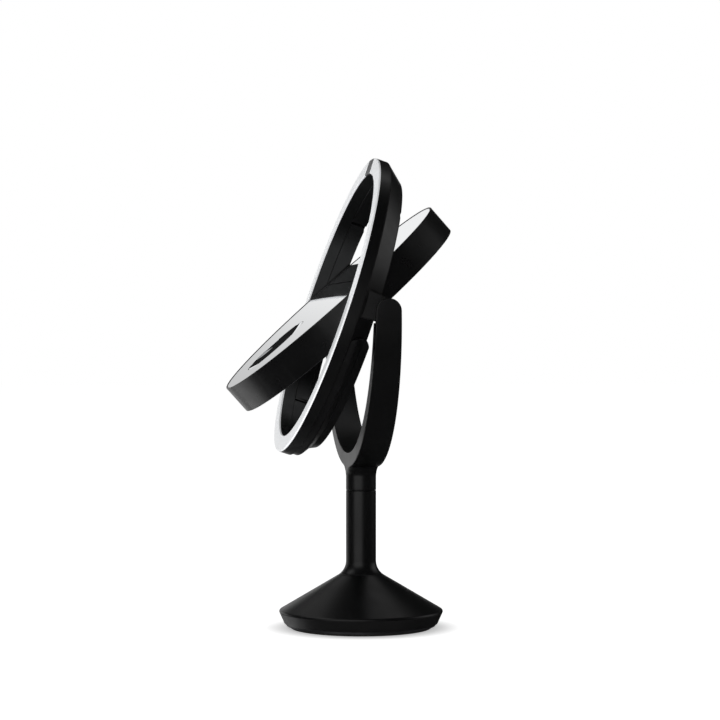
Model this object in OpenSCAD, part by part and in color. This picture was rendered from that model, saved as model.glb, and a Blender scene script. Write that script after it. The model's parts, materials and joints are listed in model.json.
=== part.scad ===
// Extendable lighted shaving mirror on a weighted cone base.
// A ring light tilts between the arms of a yoke, a two-sided mirror disc turns over inside the
// ring, and the yoke swivels on a keyed tube that slides up out of the stem.
// Origin: centre of the rest face, on the stem's axis. +Z is up and the mirror faces -Y.

/* [Base] */
// Radius of the base at its widest, just above the trim
base_r = 50.6; // [46:0.2:60]
// Height of the widest line above the table
base_edge_z = 10.1; // [9:0.1:14]
// Slope of the cone above horizontal, in degrees
cone_angle = 30.6; // [28:0.2:33]
// Vertical thickness of the cone's wall
shell_wall = 3.2; // [2.6:0.1:3.6]
// Radius of the rubber foot
foot_r = 43.6; // [40:0.2:44.5]

/* [Stem] */
// Outer radius of the stem and of the yoke's neck
stem_r = 9.3; // [9:0.1:10.5]
// Height of the stem's upper end
stem_top = 84.7; // [80:0.1:100]
// Radius of the flare where the stem meets the cone
flare_r = 10.5; // [8:0.1:12]
// How far the keyed tube slides out
extension = 48; // [20:1:48]

/* [Yoke] */
// Height of the tilt axis with the stem collapsed
pivot_z = 193.3; // [193:0.1:215]
// Inner radius of the yoke's bend
yoke_r = 87.84; // [87.6:0.02:90]
// Thickness of the yoke's band
yoke_wall = 8.9; // [8:0.1:10]
// Half the depth of an arm at the tilt axis
arm_half = 7.44; // [7:0.02:8]

/* [Ring light] */
// Outer radius of the ring
ring_r = 95; // [94:0.1:97]
// Inner radius of the ring
hole_r = 84.9; // [84.8:0.1:85.2]
// Depth of the ring's straight outer wall
wall_depth = 7.5; // [7:0.1:8]
// Depth of the whole ring
ring_depth = 18.2; // [17.5:0.1:19]
// Distance from the tilt axis to the ring's front face
pivot_to_front = 23.3; // [23:0.1:25]
// How far the ring's centre sits below the tilt axis
ring_drop = 0.96; // [0:0.01:1.5]
// Backward lean of the ring at rest, in degrees
head_tilt = 18.06; // [8:0.01:40]

/* [Mirror disc] */
// Outer radius of the disc
disc_r = 84; // [83:0.1:84]
// Thickness of the disc
disc_t = 18.8; // [18:0.1:18.8]
// Depth of the disc's axle behind the ring's front face
axle_depth = 8.44; // [8.2:0.01:8.8]
// Turn of the disc in the ring at rest, in degrees
disc_turn = 30; // [0:1:60]
// Radius of curvature of the large front mirror, which is close to flat
bowl_r = 12000; // [1000:500:20000]
// Radius of the small, stronger mirror
spot_r = 22.3; // [18:0.1:24]
// Distance of the small mirror from the disc's centre
spot_offset = 44; // [38:0.5:50]

/* [Hidden] */
$fn = 96;

// Clearances
run_gap = 0.05;    // a shaft in its bore
fit_gap = 0.02;    // a piece fixed in its seat
cut = 1;           // how far a cutter runs past the surface it opens

// Base
foot_t = 1.6;
plate_t = 1.8;
plate_r = base_r - 4.6;
plate_top = foot_t + plate_t;
trim_foot_r = base_r - 3.2;
trim_foot_z = plate_top - 0.5;
edge_round = 1.6;
cone_foot_r = base_r - edge_round * (1 - sin(cone_angle));
cone_foot_z = base_edge_z + edge_round * cos(cone_angle);
shell_foot_r = cone_foot_r - (base_edge_z + shell_wall - cone_foot_z) / tan(cone_angle);
nut_t = 5;
nut_r = 13;
nut_room = nut_r + 2;
flange_t = 5;
core_r = 19;       // radius of the flat seat under the cone's top
weight_r = base_r - 6.6;
weight_gap = 0.4;
screw_circle = 32;
base_screw_r = 1.5;
base_screw_head_r = 3;
base_screw_length = 8;
seam_z = 33.5;     // where the flared stem rests on the cone

// Stem and slide
bore_r = stem_r - 1.4;
tube_foot = 8;
tube_r = 6.6;
tube_bore = 5.2;
tube_flat = 6;     // distance of the key flat from the axis
bush_length = 12;
slide_foot = tube_foot + 1.5;
guide_length = stem_top - (slide_foot + bush_length + extension + 0.5);
edge_break = 0.25;

// Neck
neck_gap = 0.3;
neck_foot = stem_top + neck_gap;
washer_t = 0.8;
spigot_r = 5.9;
spigot_top = stem_top + 12.3;
spigot_root = 15;
clip_z = stem_top + 7.3;
clip_t = 1;
clip_inner_r = 5;
clip_outer_r = 6.5;

// Yoke
bend_z = pivot_z + 2.64;
outer_r = yoke_r + yoke_wall;
neck_round = 7;
fillet_z = bend_z - sqrt(pow(outer_r + neck_round, 2) - pow(stem_r + neck_round, 2));
fillet_end = [
    (stem_r + neck_round) * outer_r / (outer_r + neck_round),
    bend_z - (bend_z - fillet_z) * outer_r / (outer_r + neck_round)
];
pocket_r = 10.2;
cheek_x = 93.5;    // inner face of the arm's cheek at the tilt axis
pin_r = 2.5;
thread_r = 2;
thread_depth = 2.4;
friction_r = 5;
friction_t = 0.5;

// Pivot blocks
block_inner_x = 86.4;
block_outer_x = cheek_x - friction_t - 2 * run_gap;
block_front = 17.3;   // distance of the block's front end from the tilt axis
block_half = 8.9;     // half height of the front end
block_round = 7.05;   // radius of the rear end, about the tilt axis
bush_wall = 1.7;
pin_head_r = 4;
pin_head_t = 1.3;
head_room = 1.6;
block_screw_r = 1.25;
block_screw_head_r = 2.2;
block_screw_length = 8;
block_screw_y = 6;
block_screw_x = (block_inner_x + block_outer_x) / 2;

// Ring section, as radius and depth
shell_t = 1.4;
web_front = 4.6;
web_t = 1.2;
inner_wall_depth = 8.5;
liner_t = 1.2;
rear_r = hole_r + 1;
diffuser_t = 1;
diffuser_round = 0.45;
tongue_t = 1.2;
board_t = 1;
chip = 2.8;
chip_t = 0.7;
chip_count = 60;
chip_r = (hole_r + ring_r) / 2;
window_half = 8.35;
slot_angle = 45;
slot_half = 0.54;
cover_t = 1.5;
liner_corner = 3.7;

// Lower housing
housing_r = ring_r - 1.1;
housing_wall_depth = 12.1;
housing_depth = 20.9;
housing_start = 192;
housing_end = 348;
housing_mid_depth = (wall_depth + housing_depth) / 2;
housing_end_r = housing_mid_depth - wall_depth + 0.3;
housing_round_angle = asin(housing_end_r / housing_r);
room_start = 201;
room_end = 339;
lap = 0.4;         // overlap of neighbouring stretches, in degrees
down = 270;
cell = [22, 3.8, 6];
cell_pitch = 15.5;
cell_foot_r = 86.9;
cell_front = 6;
port = [9, 6.5, 3.2];
port_front = 8.3;
port_wall = 0.4;
pcb = [20, 3.3, 1];

// Mirror disc
half_t = disc_t / 2;
rim_lip = 1;
rim_round = 0.8;
glass_r = disc_r - rim_lip - 0.1;
glass_t = 2;
glass_recess = 0.3;
bowl_centre = half_t - glass_recess + sqrt(pow(bowl_r, 2) - pow(glass_r, 2));
rim_seat_front = 6.7;
rim_seat_back = half_t - glass_recess - glass_t - 0.1;
rim_inner_r = disc_r - 3.5;
core_top_gap = 0.2;
spot_bowl_r = 75;
spot_t = 5;
spot_gap = 0.2;
axle_r = 2;
axle_inner = 70;
axle_outer = 90.5;
axle_bush_r = 3.2;
axle_bush_end = 91;
pocket_count = 6;
pocket_inner_r = 26;
pocket_outer_r = 72;
pocket_floor = 2;
rib_turn = 3;      // half the turn that a rib takes up

black = "#1c1c1e";
dark = "#303134";
steel = "#b9bcc0";
nylon = "#e4e2dc";

// Points of an arc about a centre, from one angle to another
function arc(centre, r, from, to, steps = 16) = [
    for (i = [0 : steps])
        let (a = from + (to - from) * i / steps)
        centre + r * [cos(a), sin(a)]
];

// Height of the cone's outer surface at a radius
function cone_z(r) = cone_foot_z + (cone_foot_r - r) * tan(cone_angle);

flare_turn = 90 - cone_angle;
flare_centre_r = stem_r + flare_r;
flare_z = flare_r * sin(flare_turn) + cone_z(flare_centre_r - flare_r * cos(flare_turn));
seam_turn = asin((flare_z - seam_z) / flare_r);
seat_z = cone_z(core_r) - shell_wall;
weight_flange_z = seat_z - flange_t;

// ---- Frames that the moving pieces are drawn in ----

// Origin on the tilt axis, z along the ring's front normal, y up the ring's face
module pivot_frame() {
    translate([0, 0, pivot_z]) rotate([90 - head_tilt, 0, 0]) children();
}

// Origin at the centre of the ring's front face, so a depth is a negative z
module ring_frame() {
    pivot_frame() translate([0, -ring_drop, pivot_to_front]) children();
}

// Origin at the disc's centre, z along the normal of its front mirror
module disc_frame() {
    ring_frame() translate([0, 0, -axle_depth]) rotate([-disc_turn, 0, 0]) children();
}

// A cylinder along X from one x to another
module x_rod(r, from, to) {
    translate([from, 0, 0]) rotate([0, 90, 0]) cylinder(r = r, h = to - from);
}

// Both sides of something drawn on the +X side
module both_sides() {
    children();
    mirror([1, 0, 0]) children();
}

// A section turned about the ring's axis between two angles
module sweep(from, to) {
    rotate([0, 0, from]) rotate_extrude(angle = to - from, $fn = 180) children();
}

// A rectangle given by its lower and upper corners
module span(low, high) {
    translate(low) square(high - low);
}

// ---- Base ----

module base_foot() {
    color("#26262a") cylinder(r = foot_r, h = foot_t);
}

// The four places of the base screws
module at_base_screws() {
    for (i = [0 : 3])
        rotate([0, 0, 45 + 90 * i]) translate([screw_circle, 0, 0]) children();
}

module base_plate() {
    color(steel) difference() {
        translate([0, 0, foot_t]) cylinder(r = plate_r, h = plate_t);
        at_base_screws() translate([0, 0, foot_t])
            cylinder(r1 = base_screw_head_r, r2 = base_screw_r, h = plate_t);
    }
}

module base_screws() {
    color(steel) at_base_screws() {
        translate([0, 0, foot_t])
            cylinder(r1 = base_screw_head_r, r2 = base_screw_r, h = plate_t);
        translate([0, 0, plate_top]) cylinder(r = base_screw_r, h = base_screw_length);
    }
}

module base_weight() {
    color("#55585c") difference() {
        rotate_extrude() polygon([
            [nut_room, plate_top],
            [weight_r, plate_top],
            [weight_r, cone_z(weight_r) - shell_wall - weight_gap],
            [core_r, seat_z - weight_gap],
            [core_r, seat_z],
            [stem_r + run_gap, seat_z],
            [stem_r + run_gap, weight_flange_z],
            [nut_room, weight_flange_z]
        ]);
        at_base_screws() translate([0, 0, plate_top - cut])
            cylinder(r = base_screw_r, h = base_screw_length + cut);
    }
}

module base_shell() {
    edge_centre = [base_r - edge_round, base_edge_z];
    seam_r = flare_centre_r - flare_r * cos(seam_turn);
    color(black) rotate_extrude() polygon(concat(
        [[shell_foot_r, base_edge_z]],
        arc(edge_centre, edge_round, 0, 90 - cone_angle, 8),
        arc([flare_centre_r, flare_z], flare_r, 180 + flare_turn, 180 + seam_turn, 4),
        [
            [seam_r, seam_z],
            [stem_r + fit_gap, seam_z],
            [stem_r + fit_gap, seat_z],
            [core_r, seat_z]
        ]
    ));
}

module base_trim() {
    color(dark) rotate_extrude() polygon([
        [plate_r + 0.2, trim_foot_z],
        [trim_foot_r, trim_foot_z],
        [base_r - 0.1, base_edge_z - 0.3],
        [base_r - 0.4, base_edge_z],
        [base_r - edge_round - 1.4, base_edge_z],
        [plate_r + 0.2, base_edge_z - 3.2]
    ]);
}

// ---- Stem ----

module stem_tube() {
    seam_r = flare_centre_r - flare_r * cos(seam_turn);
    color(black) rotate_extrude() polygon(concat(
        [
            [bore_r, tube_foot],
            [stem_r, tube_foot],
            [stem_r, seam_z],
            [seam_r - edge_break, seam_z]
        ],
        arc([flare_centre_r, flare_z], flare_r, 180 + seam_turn - 1.5, 180, 16),
        [
            [stem_r, stem_top - edge_break],
            [stem_r - edge_break, stem_top],
            [bore_r, stem_top]
        ]
    ));
}

module stem_nut() {
    color(steel) translate([0, 0, weight_flange_z - nut_t]) difference() {
        cylinder(r = nut_r, h = nut_t, $fn = 6);
        translate([0, 0, -cut]) cylinder(r = stem_r, h = nut_t + 2 * cut);
    }
}

// The keyed outline of the sliding tube, grown by a gap
module keyed_outline(gap = 0) {
    difference() {
        circle(r = tube_r + gap);
        translate([-tube_r - cut, tube_flat + gap]) square([2 * (tube_r + cut), tube_r]);
    }
}

module guide_bush() {
    color(nylon) translate([0, 0, stem_top - guide_length]) linear_extrude(guide_length)
        difference() {
            circle(r = bore_r - fit_gap);
            keyed_outline(run_gap);
        }
}

// ---- Sliding tube ----

module inner_tube() {
    color(steel) translate([0, 0, slide_foot]) linear_extrude(stem_top - slide_foot)
        difference() {
            keyed_outline();
            circle(r = tube_bore);
        }
}

module slide_bush() {
    color(nylon) translate([0, 0, slide_foot]) linear_extrude(bush_length) difference() {
        circle(r = bore_r - run_gap);
        keyed_outline(fit_gap);
    }
}

module swivel_spigot() {
    color(steel) difference() {
        union() {
            translate([0, 0, stem_top - spigot_root])
                cylinder(r = tube_bore - fit_gap, h = spigot_root);
            translate([0, 0, stem_top]) cylinder(r = spigot_r, h = spigot_top - stem_top);
        }
        translate([0, 0, clip_z - run_gap]) difference() {
            cylinder(r = spigot_r + cut, h = clip_t + 2 * run_gap);
            translate([0, 0, -cut]) cylinder(r = clip_inner_r - run_gap, h = clip_t + 3 * cut);
        }
    }
}

// ---- Yoke ----

// The bend and the arms, seen from the front
module yoke_front_outline() {
    difference() {
        union() {
            circle_at_bend(outer_r);
            span([-outer_r, bend_z], [outer_r, pivot_z + arm_half + cut]);
        }
        circle_at_bend(yoke_r);
        span([-yoke_r, bend_z], [yoke_r, pivot_z + arm_half + 2 * cut]);
    }
}

module circle_at_bend(r) {
    translate([0, bend_z]) difference() {
        circle(r = r, $fn = 180);
        translate([-2 * r, 0]) square([4 * r, 2 * r]);
    }
}

// The arms' depth, seen from the side: rounded at the tilt axis and widest at the neck
module yoke_side_outline() {
    polygon(concat(
        [[-stem_r, bend_z - outer_r - cut], [stem_r, bend_z - outer_r - cut]],
        arc([0, pivot_z], arm_half, 0, 180, 48)
    ));
}

module yoke_band() {
    intersection() {
        translate([0, outer_r, 0]) rotate([90, 0, 0]) linear_extrude(2 * outer_r)
            yoke_front_outline();
        translate([-outer_r - cut, 0, 0]) rotate([90, 0, 90])
            linear_extrude(2 * (outer_r + cut)) yoke_side_outline();
    }
}

// The round neck, flaring into the bend and trimmed to the band's depth
module yoke_neck() {
    intersection() {
        rotate_extrude() polygon(concat(
            [
                [0, neck_foot],
                [stem_r - edge_break, neck_foot],
                [stem_r, neck_foot + edge_break]
            ],
            arc([stem_r + neck_round, fillet_z], neck_round, 180,
                180 - atan2(fillet_end[1] - fillet_z, stem_r + neck_round - fillet_end[0]), 12),
            [[0, fillet_end[1]]]
        ));
        translate([-2 * stem_r, -stem_r, neck_foot])
            cube([4 * stem_r, 2 * stem_r, fillet_end[1] - neck_foot]);
    }
}

module yoke() {
    color(black) difference() {
        union() {
            yoke_band();
            yoke_neck();
        }
        translate([0, 0, neck_foot - cut]) cylinder(r = spigot_r + run_gap,
            h = spigot_top + 0.5 - neck_foot + cut);
        translate([0, 0, neck_foot - cut]) cylinder(r = spigot_r + 2.3,
            h = stem_top + washer_t - neck_foot + cut);
        translate([0, 0, clip_z]) cylinder(r = clip_outer_r, h = clip_t);
        both_sides() translate([0, 0, pivot_z]) {
            x_rod(pocket_r, yoke_r - 2 * cut, cheek_x);
            x_rod(thread_r, cheek_x - cut, cheek_x + thread_depth);
        }
    }
}

module swivel_clip() {
    color(steel) translate([0, 0, clip_z]) linear_extrude(clip_t) difference() {
        circle(r = clip_outer_r - fit_gap);
        circle(r = clip_inner_r);
        translate([-1, 0]) square([2, 2 * clip_outer_r]);
    }
}

module swivel_washer() {
    color(nylon) translate([0, 0, stem_top]) linear_extrude(washer_t) difference() {
        circle(r = spigot_r + 2.1);
        circle(r = spigot_r + run_gap);
    }
}

// Shoulder screws, with their heads inside the pivot blocks
module pivot_screws() {
    head_x = block_inner_x + head_room - pin_head_t - 0.1;
    color(steel) both_sides() translate([0, 0, pivot_z]) {
        x_rod(pin_head_r, head_x, head_x + pin_head_t);
        x_rod(pin_r, head_x + pin_head_t, cheek_x);
        x_rod(thread_r, cheek_x, cheek_x + thread_depth);
    }
}

module friction_washers() {
    color(nylon) both_sides() translate([0, 0, pivot_z]) difference() {
        x_rod(friction_r, cheek_x - friction_t, cheek_x);
        x_rod(pin_r + run_gap, cheek_x - friction_t - cut, cheek_x + cut);
    }
}

// ---- Ring light ----

module front_frame() {
    web_back = web_front + web_t;
    inner = hole_r + shell_t;
    outer = ring_r - shell_t;
    color(black) ring_frame() difference() {
        rotate_extrude($fn = 180) {
            span([hole_r, -inner_wall_depth], [inner, -diffuser_t]);
            span([outer, -wall_depth], [ring_r, -diffuser_t]);
            span([inner - cut / 2, -web_back], [outer + cut / 2, -web_front]);
        }
        axle_holes(axle_bush_r);
        block_screw_shapes();
    }
}

// Cutters for the disc's axle, through both sides of the ring
module axle_holes(r) {
    both_sides() translate([0, 0, -axle_depth]) x_rod(r, hole_r - 2, axle_bush_end);
}

// The flush front face with rounded edges, and the tongue that seats it in the frame
module diffuser_section() {
    inner = hole_r + 0.1;
    outer = ring_r - 0.1;
    polygon(concat(
        [[inner, -diffuser_t], [outer, -diffuser_t]],
        arc([outer - diffuser_round, -diffuser_round], diffuser_round, 0, 90, 4),
        arc([inner + diffuser_round, -diffuser_round], diffuser_round, 90, 180, 4)
    ));
    span(
        [hole_r + shell_t + 0.1, -diffuser_t - tongue_t],
        [ring_r - shell_t - 0.1, -diffuser_t / 2]
    );
}

module light_diffuser() {
    color("white") ring_frame() difference() {
        rotate_extrude($fn = 180) diffuser_section();
        translate([-window_half, 0, -2 * tongue_t - diffuser_t])
            cube([2 * window_half, 2 * ring_r, 4 * tongue_t]);
    }
}

module sensor_window() {
    half = window_half - fit_gap;
    color("#77797d") ring_frame() intersection() {
        rotate_extrude($fn = 180) diffuser_section();
        translate([-half, 0, -2 * tongue_t - diffuser_t])
            cube([2 * half, 2 * ring_r, 4 * tongue_t]);
    }
}

module sensor_board() {
    color("#1f5c3a") ring_frame()
        translate([-6, chip_r - 2.5, -diffuser_t - tongue_t - board_t]) cube([12, 5, board_t]);
}

module led_board() {
    color("#e9e9e4") ring_frame() rotate_extrude($fn = 180)
        span([hole_r + 1.7, -web_front], [ring_r - 1.7, -web_front + board_t]);
}

module led_chips() {
    step = 360 / chip_count;
    color("#f3e9b0") ring_frame()
        for (i = [0 : chip_count - 1])
            if (abs(i * step - 90) > step)
                rotate([0, 0, i * step])
                    translate([chip_r - chip / 2, -chip / 2, -web_front + board_t])
                        cube([chip, chip, chip_t]);
}

// The chamfered wall of the rear cover
module cover_section() {
    slope = [rear_r - ring_r, wall_depth - ring_depth];
    inward = cover_t * [slope[1], -slope[0]] / norm(slope);
    wall_end = hole_r + liner_t;
    // Depth of the sloping line through a point at a radius
    function on_slope(point, r) = point[1] + (r - point[0]) * slope[1] / slope[0];
    // Radius of the sloping line through a point at a depth
    function at_depth(point, z) = point[0] + (z - point[1]) * slope[0] / slope[1];
    outer_corner = [ring_r, -wall_depth];
    polygon([
        outer_corner,
        [wall_end, on_slope(outer_corner, wall_end)],
        [wall_end, on_slope(outer_corner + inward, wall_end)],
        [at_depth(outer_corner + inward, -wall_depth), -wall_depth]
    ]);
}

// The rear half of the ring's inner wall
module liner_section() {
    wall_end = hole_r + liner_t;
    polygon([
        [hole_r, -inner_wall_depth],
        [wall_end, -inner_wall_depth],
        [wall_end, -ring_depth + 0.2],
        [rear_r, -ring_depth],
        [hole_r, -ring_depth]
    ]);
}

// The outline of a pivot block, seen along the tilt axis: tangent lines to its round rear end
module block_outline(grow = 0) {
    half = block_half + grow;
    round_r = block_round + grow;
    reach = norm([block_front, half]);
    turn = atan2(half, block_front) + acos(round_r / reach);
    polygon(concat(
        [[-half, block_front + grow], [half, block_front + grow]],
        arc([0, 0], round_r, 90 - turn, turn - 270, 24)
    ));
}

// A pivot block's outline as a solid between two x, in the tilt axis's frame
module block_solid(from, to, grow = 0) {
    translate([from, 0, 0]) rotate([90, 0, 90]) linear_extrude(to - from)
        block_outline(grow);
}

// The same, in the ring's frame, as a cutter on both sides
module block_cutters() {
    translate([0, ring_drop, -pivot_to_front]) both_sides()
        block_solid(hole_r + liner_t + fit_gap, block_outer_x + fit_gap, fit_gap);
}

module rear_cover() {
    color(black) ring_frame() difference() {
        union() {
            sweep(room_end - 360, room_start) cover_section();
            sweep(slot_angle + slot_half, 180 - slot_angle - slot_half) {
                cover_section();
                liner_section();
            }
        }
        block_cutters();
    }
}

// The section of the lower housing's outside
module housing_section() {
    polygon([
        [hole_r, -wall_depth],
        [housing_r, -wall_depth],
        [housing_r, -housing_wall_depth],
        [housing_r - 5.7, -housing_wall_depth - 3.9],
        [rear_r + 0.1, -housing_depth],
        [hole_r, -housing_depth]
    ]);
}

// The section of the room inside the lower housing
module housing_room_section() {
    wall_end = hole_r + liner_t;
    polygon([
        [hole_r - cut, -wall_depth + cut],
        [housing_r - shell_t, -wall_depth + cut],
        [housing_r - shell_t, -housing_wall_depth + 0.7],
        [housing_r - 6.7, -housing_wall_depth - 3.1],
        [wall_end, -housing_depth + 2.9],
        [wall_end, -inner_wall_depth],
        [hole_r - cut, -inner_wall_depth]
    ]);
}

// The ring as it would be without a housing, as a cutter
module plain_ring_section() {
    polygon([
        [hole_r - cut, -wall_depth + cut],
        [ring_r + cut * 0.85, -wall_depth + cut],
        [rear_r, -ring_depth],
        [hole_r - cut, -ring_depth]
    ]);
}

// A cutter that leaves a section's end fully round, in the plane of the ring's wall
module end_rounding(angle, toward) {
    far = angle - toward * 2 * housing_round_angle;
    difference() {
        sweep(min(angle, far), max(angle, far))
            span([hole_r - 2 * cut, -housing_depth - cut], [ring_r + cut, 0]);
        rotate([0, 0, angle]) translate([hole_r - 3 * cut, 0, -housing_mid_depth])
            rotate([0, 90, 0]) cylinder(r = housing_end_r, h = ring_r - hole_r + 5 * cut);
    }
}

// A cutter for the liners' seat beside the battery room
module liner_seat_section() {
    span([hole_r - cut, -ring_depth - 0.1], [hole_r + liner_t + 0.5, -wall_depth + cut]);
}

// The housing's bar with the battery room in it
module housing_hollow() {
    difference() {
        sweep(housing_start, housing_end) housing_section();
        sweep(room_start, room_end) housing_room_section();
    }
}

// The same, with its ends cut to lie on the rear cover
module housing_on_cover() {
    difference() {
        housing_hollow();
        sweep(housing_start - 1, room_start + lap) plain_ring_section();
        sweep(room_end - lap, housing_end + 1) plain_ring_section();
    }
}

// The same, cut away where the liners sit
module housing_on_liners() {
    reach = slot_angle + slot_half;
    difference() {
        housing_on_cover();
        sweep(room_start - lap, 180 + reach) liner_seat_section();
        sweep(360 - reach, room_end + lap) liner_seat_section();
    }
}

module housing_rounded() {
    difference() {
        housing_on_liners();
        end_rounding(housing_start + housing_round_angle, 1);
        end_rounding(housing_end - housing_round_angle, -1);
    }
}

module lower_housing() {
    color(black) ring_frame() difference() {
        housing_rounded();
        rotate([0, 0, down]) translate([housing_r, 0, -port_front - port[2] / 2])
            cube([2 * port[1], port[0] + fit_gap, port[2] + fit_gap], center = true);
    }
}

// The liner behind one pivot block, with its two rear corners rounded
module liner(middle) {
    reach = slot_angle - slot_half;
    corner_turn = liner_corner / hole_r * 180 / PI;
    color(black) ring_frame() difference() {
        sweep(middle - reach, middle + reach) liner_section();
        for (side = [-1, 1])
            corner_rounding(middle + side * (reach - corner_turn), side * corner_turn);
        axle_holes(axle_bush_r);
    }
}

// A cutter that rounds a liner's rear corner
module corner_rounding(angle, turn) {
    far = angle + 2 * turn;
    difference() {
        sweep(min(angle, far), max(angle, far))
            span([hole_r - cut, -ring_depth - cut], [ring_r, -ring_depth + liner_corner]);
        rotate([0, 0, angle]) translate([hole_r - 2 * cut, 0, -ring_depth + liner_corner])
            rotate([0, 90, 0]) cylinder(r = liner_corner, h = ring_r - hole_r + 4 * cut);
    }
}

module left_liner() {
    liner(180);
}

module right_liner() {
    liner(0);
}

// ---- Pivot blocks ----

module pivot_block(side) {
    color(dark) pivot_frame() difference() {
        rotate([0, 0, side < 0 ? 180 : 0])
            block_solid(block_inner_x, block_outer_x);
        both_sides() x_rod(pin_head_r + 0.2, block_inner_x - cut, block_outer_x + cut);
        translate([0, -ring_drop, pivot_to_front]) {
            axle_holes(axle_bush_r);
            block_screw_shapes();
        }
    }
}

module left_pivot_block() {
    pivot_block(-1);
}

module right_pivot_block() {
    pivot_block(1);
}

// Countersunk screws that hold the blocks to the frame's web
module block_screw_shapes() {
    both_sides() for (y = [-block_screw_y, block_screw_y])
        translate([block_screw_x, y + ring_drop, -web_front]) mirror([0, 0, 1]) {
            cylinder(r1 = block_screw_head_r, r2 = block_screw_r, h = web_t);
            cylinder(r = block_screw_r, h = block_screw_length);
        }
}

module block_screws() {
    color(steel) ring_frame() block_screw_shapes();
}

module pivot_bushes() {
    start = block_inner_x + head_room;
    color(nylon) pivot_frame() both_sides() difference() {
        x_rod(pin_r + bush_wall, start, block_outer_x);
        x_rod(pin_r + run_gap, start - cut, block_outer_x + cut);
    }
}

module axle_bushes() {
    color(nylon) ring_frame() both_sides() translate([0, 0, -axle_depth]) difference() {
        x_rod(axle_bush_r, hole_r + run_gap, axle_bush_end);
        x_rod(axle_r + run_gap, hole_r - cut, axle_bush_end + cut);
    }
}

// ---- Electronics in the lower housing ----

module battery_cells() {
    color("#8f9aa6") ring_frame()
        for (i = [-4 : 4])
            if (i != 0)
                rotate([0, 0, down + i * cell_pitch])
                    translate([cell_foot_r, -cell[0] / 2, -cell_front - cell[2]])
                        cube([cell[1], cell[0], cell[2]]);
}

module control_board() {
    color("#1f5c3a") ring_frame() rotate([0, 0, down])
        translate([cell_foot_r - 0.4, -pcb[0] / 2, -port_front - port[2] - pcb[2]])
            cube([pcb[1], pcb[0], pcb[2]]);
}

module charge_port() {
    color(steel) ring_frame() rotate([0, 0, down])
        translate([housing_r - 0.3 - port[1], 0, -port_front - port[2] / 2]) difference() {
            translate([0, -port[0] / 2, -port[2] / 2]) cube([port[1], port[0], port[2]]);
            translate([port_wall, -port[0] / 2 + port_wall, -port[2] / 2 + port_wall])
                cube([port[1], port[0] - 2 * port_wall, port[2] - 2 * port_wall]);
        }
}

// ---- Mirror disc ----

module mirror_rim() {
    lip_r = disc_r - rim_lip;
    color(black) disc_frame() difference() {
        rotate_extrude($fn = 180) polygon(concat(
            [
                [lip_r, half_t],
                [lip_r, rim_seat_front],
                [rim_inner_r, rim_seat_front],
                [rim_inner_r, -rim_seat_back],
                [lip_r, -rim_seat_back],
                [lip_r, -half_t]
            ],
            arc([disc_r - rim_round, -half_t + rim_round], rim_round, -90, 0, 4),
            arc([disc_r - rim_round, half_t - rim_round], rim_round, 0, 90, 4)
        ));
        x_rod(axle_r, -axle_outer, axle_outer);
    }
}

// Points along a bowl's surface from its axis out to a radius
function bowl(centre, r, reach, steps = 12) = arc([0, centre], r, -90, -90 + asin(reach / r), steps);

// Origin on the front mirror's surface at the small mirror, z towards the centre of curvature
module spot_frame() {
    translate([0, 0, bowl_centre]) rotate([-asin(spot_offset / bowl_r), 0, 0])
        translate([0, 0, -bowl_r]) children();
}

module front_mirror() {
    back = bowl(bowl_centre, bowl_r + glass_t, glass_r);
    front = bowl(bowl_centre, bowl_r, glass_r);
    color("silver") disc_frame() difference() {
        rotate_extrude($fn = 180) polygon(concat(back, [for (i = [len(front) - 1 : -1 : 0]) front[i]]));
        spot_frame() translate([0, 0, -2 * glass_t]) cylinder(r = spot_r + spot_gap, h = 4 * glass_t);
    }
}

module spot_mirror() {
    front = bowl(sqrt(pow(spot_bowl_r, 2) - pow(spot_r, 2)), spot_bowl_r, spot_r, 6);
    color("silver") disc_frame() spot_frame() rotate_extrude()
        polygon(concat([[spot_r, -spot_t], [0, -spot_t]], front));
}

module back_mirror() {
    color("silver") disc_frame() translate([0, 0, -half_t + glass_recess])
        cylinder(r = glass_r, h = glass_t);
}

// The plastic carrier between the two mirrors, with pockets between its ribs and a recess for the small mirror
module mirror_core() {
    back = half_t - glass_recess - glass_t - 0.1;
    reach = rim_inner_r - 0.2;
    step = 360 / pocket_count;
    color(dark) disc_frame() difference() {
        rotate_extrude($fn = 180) polygon(concat(
            [[reach, -back], [0, -back]],
            bowl(bowl_centre, bowl_r + glass_t + core_top_gap, reach)
        ));
        spot_frame() translate([0, 0, -spot_t - spot_gap]) cylinder(r = spot_r + spot_gap, h = spot_t + half_t);
        for (i = [0 : pocket_count - 1])
            sweep(i * step + step / 2 + rib_turn, (i + 1) * step + step / 2 - rib_turn)
                span([pocket_inner_r, -back + pocket_floor], [pocket_outer_r, half_t]);
        x_rod(axle_r, -axle_outer, axle_outer);
    }
}

module mirror_axles() {
    color(steel) disc_frame() both_sides() x_rod(axle_r, axle_inner, axle_outer);
}

module axle_washers() {
    color(nylon) disc_frame() both_sides() difference() {
        x_rod(axle_bush_r, disc_r + run_gap, hole_r - 2 * run_gap);
        x_rod(axle_r, disc_r - cut, hole_r + cut);
    }
}

base_foot();
base_plate();
base_weight();
base_shell();
base_trim();
base_screws();
stem_tube();
stem_nut();
guide_bush();
inner_tube();
slide_bush();
swivel_spigot();
yoke();
swivel_clip();
swivel_washer();
pivot_screws();
friction_washers();
front_frame();
light_diffuser();
led_board();
led_chips();
sensor_window();
sensor_board();
rear_cover();
lower_housing();
left_liner();
right_liner();
left_pivot_block();
right_pivot_block();
block_screws();
pivot_bushes();
axle_bushes();
battery_cells();
control_board();
charge_port();
mirror_rim();
front_mirror();
spot_mirror();
back_mirror();
mirror_core();
mirror_axles();
axle_washers();
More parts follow.
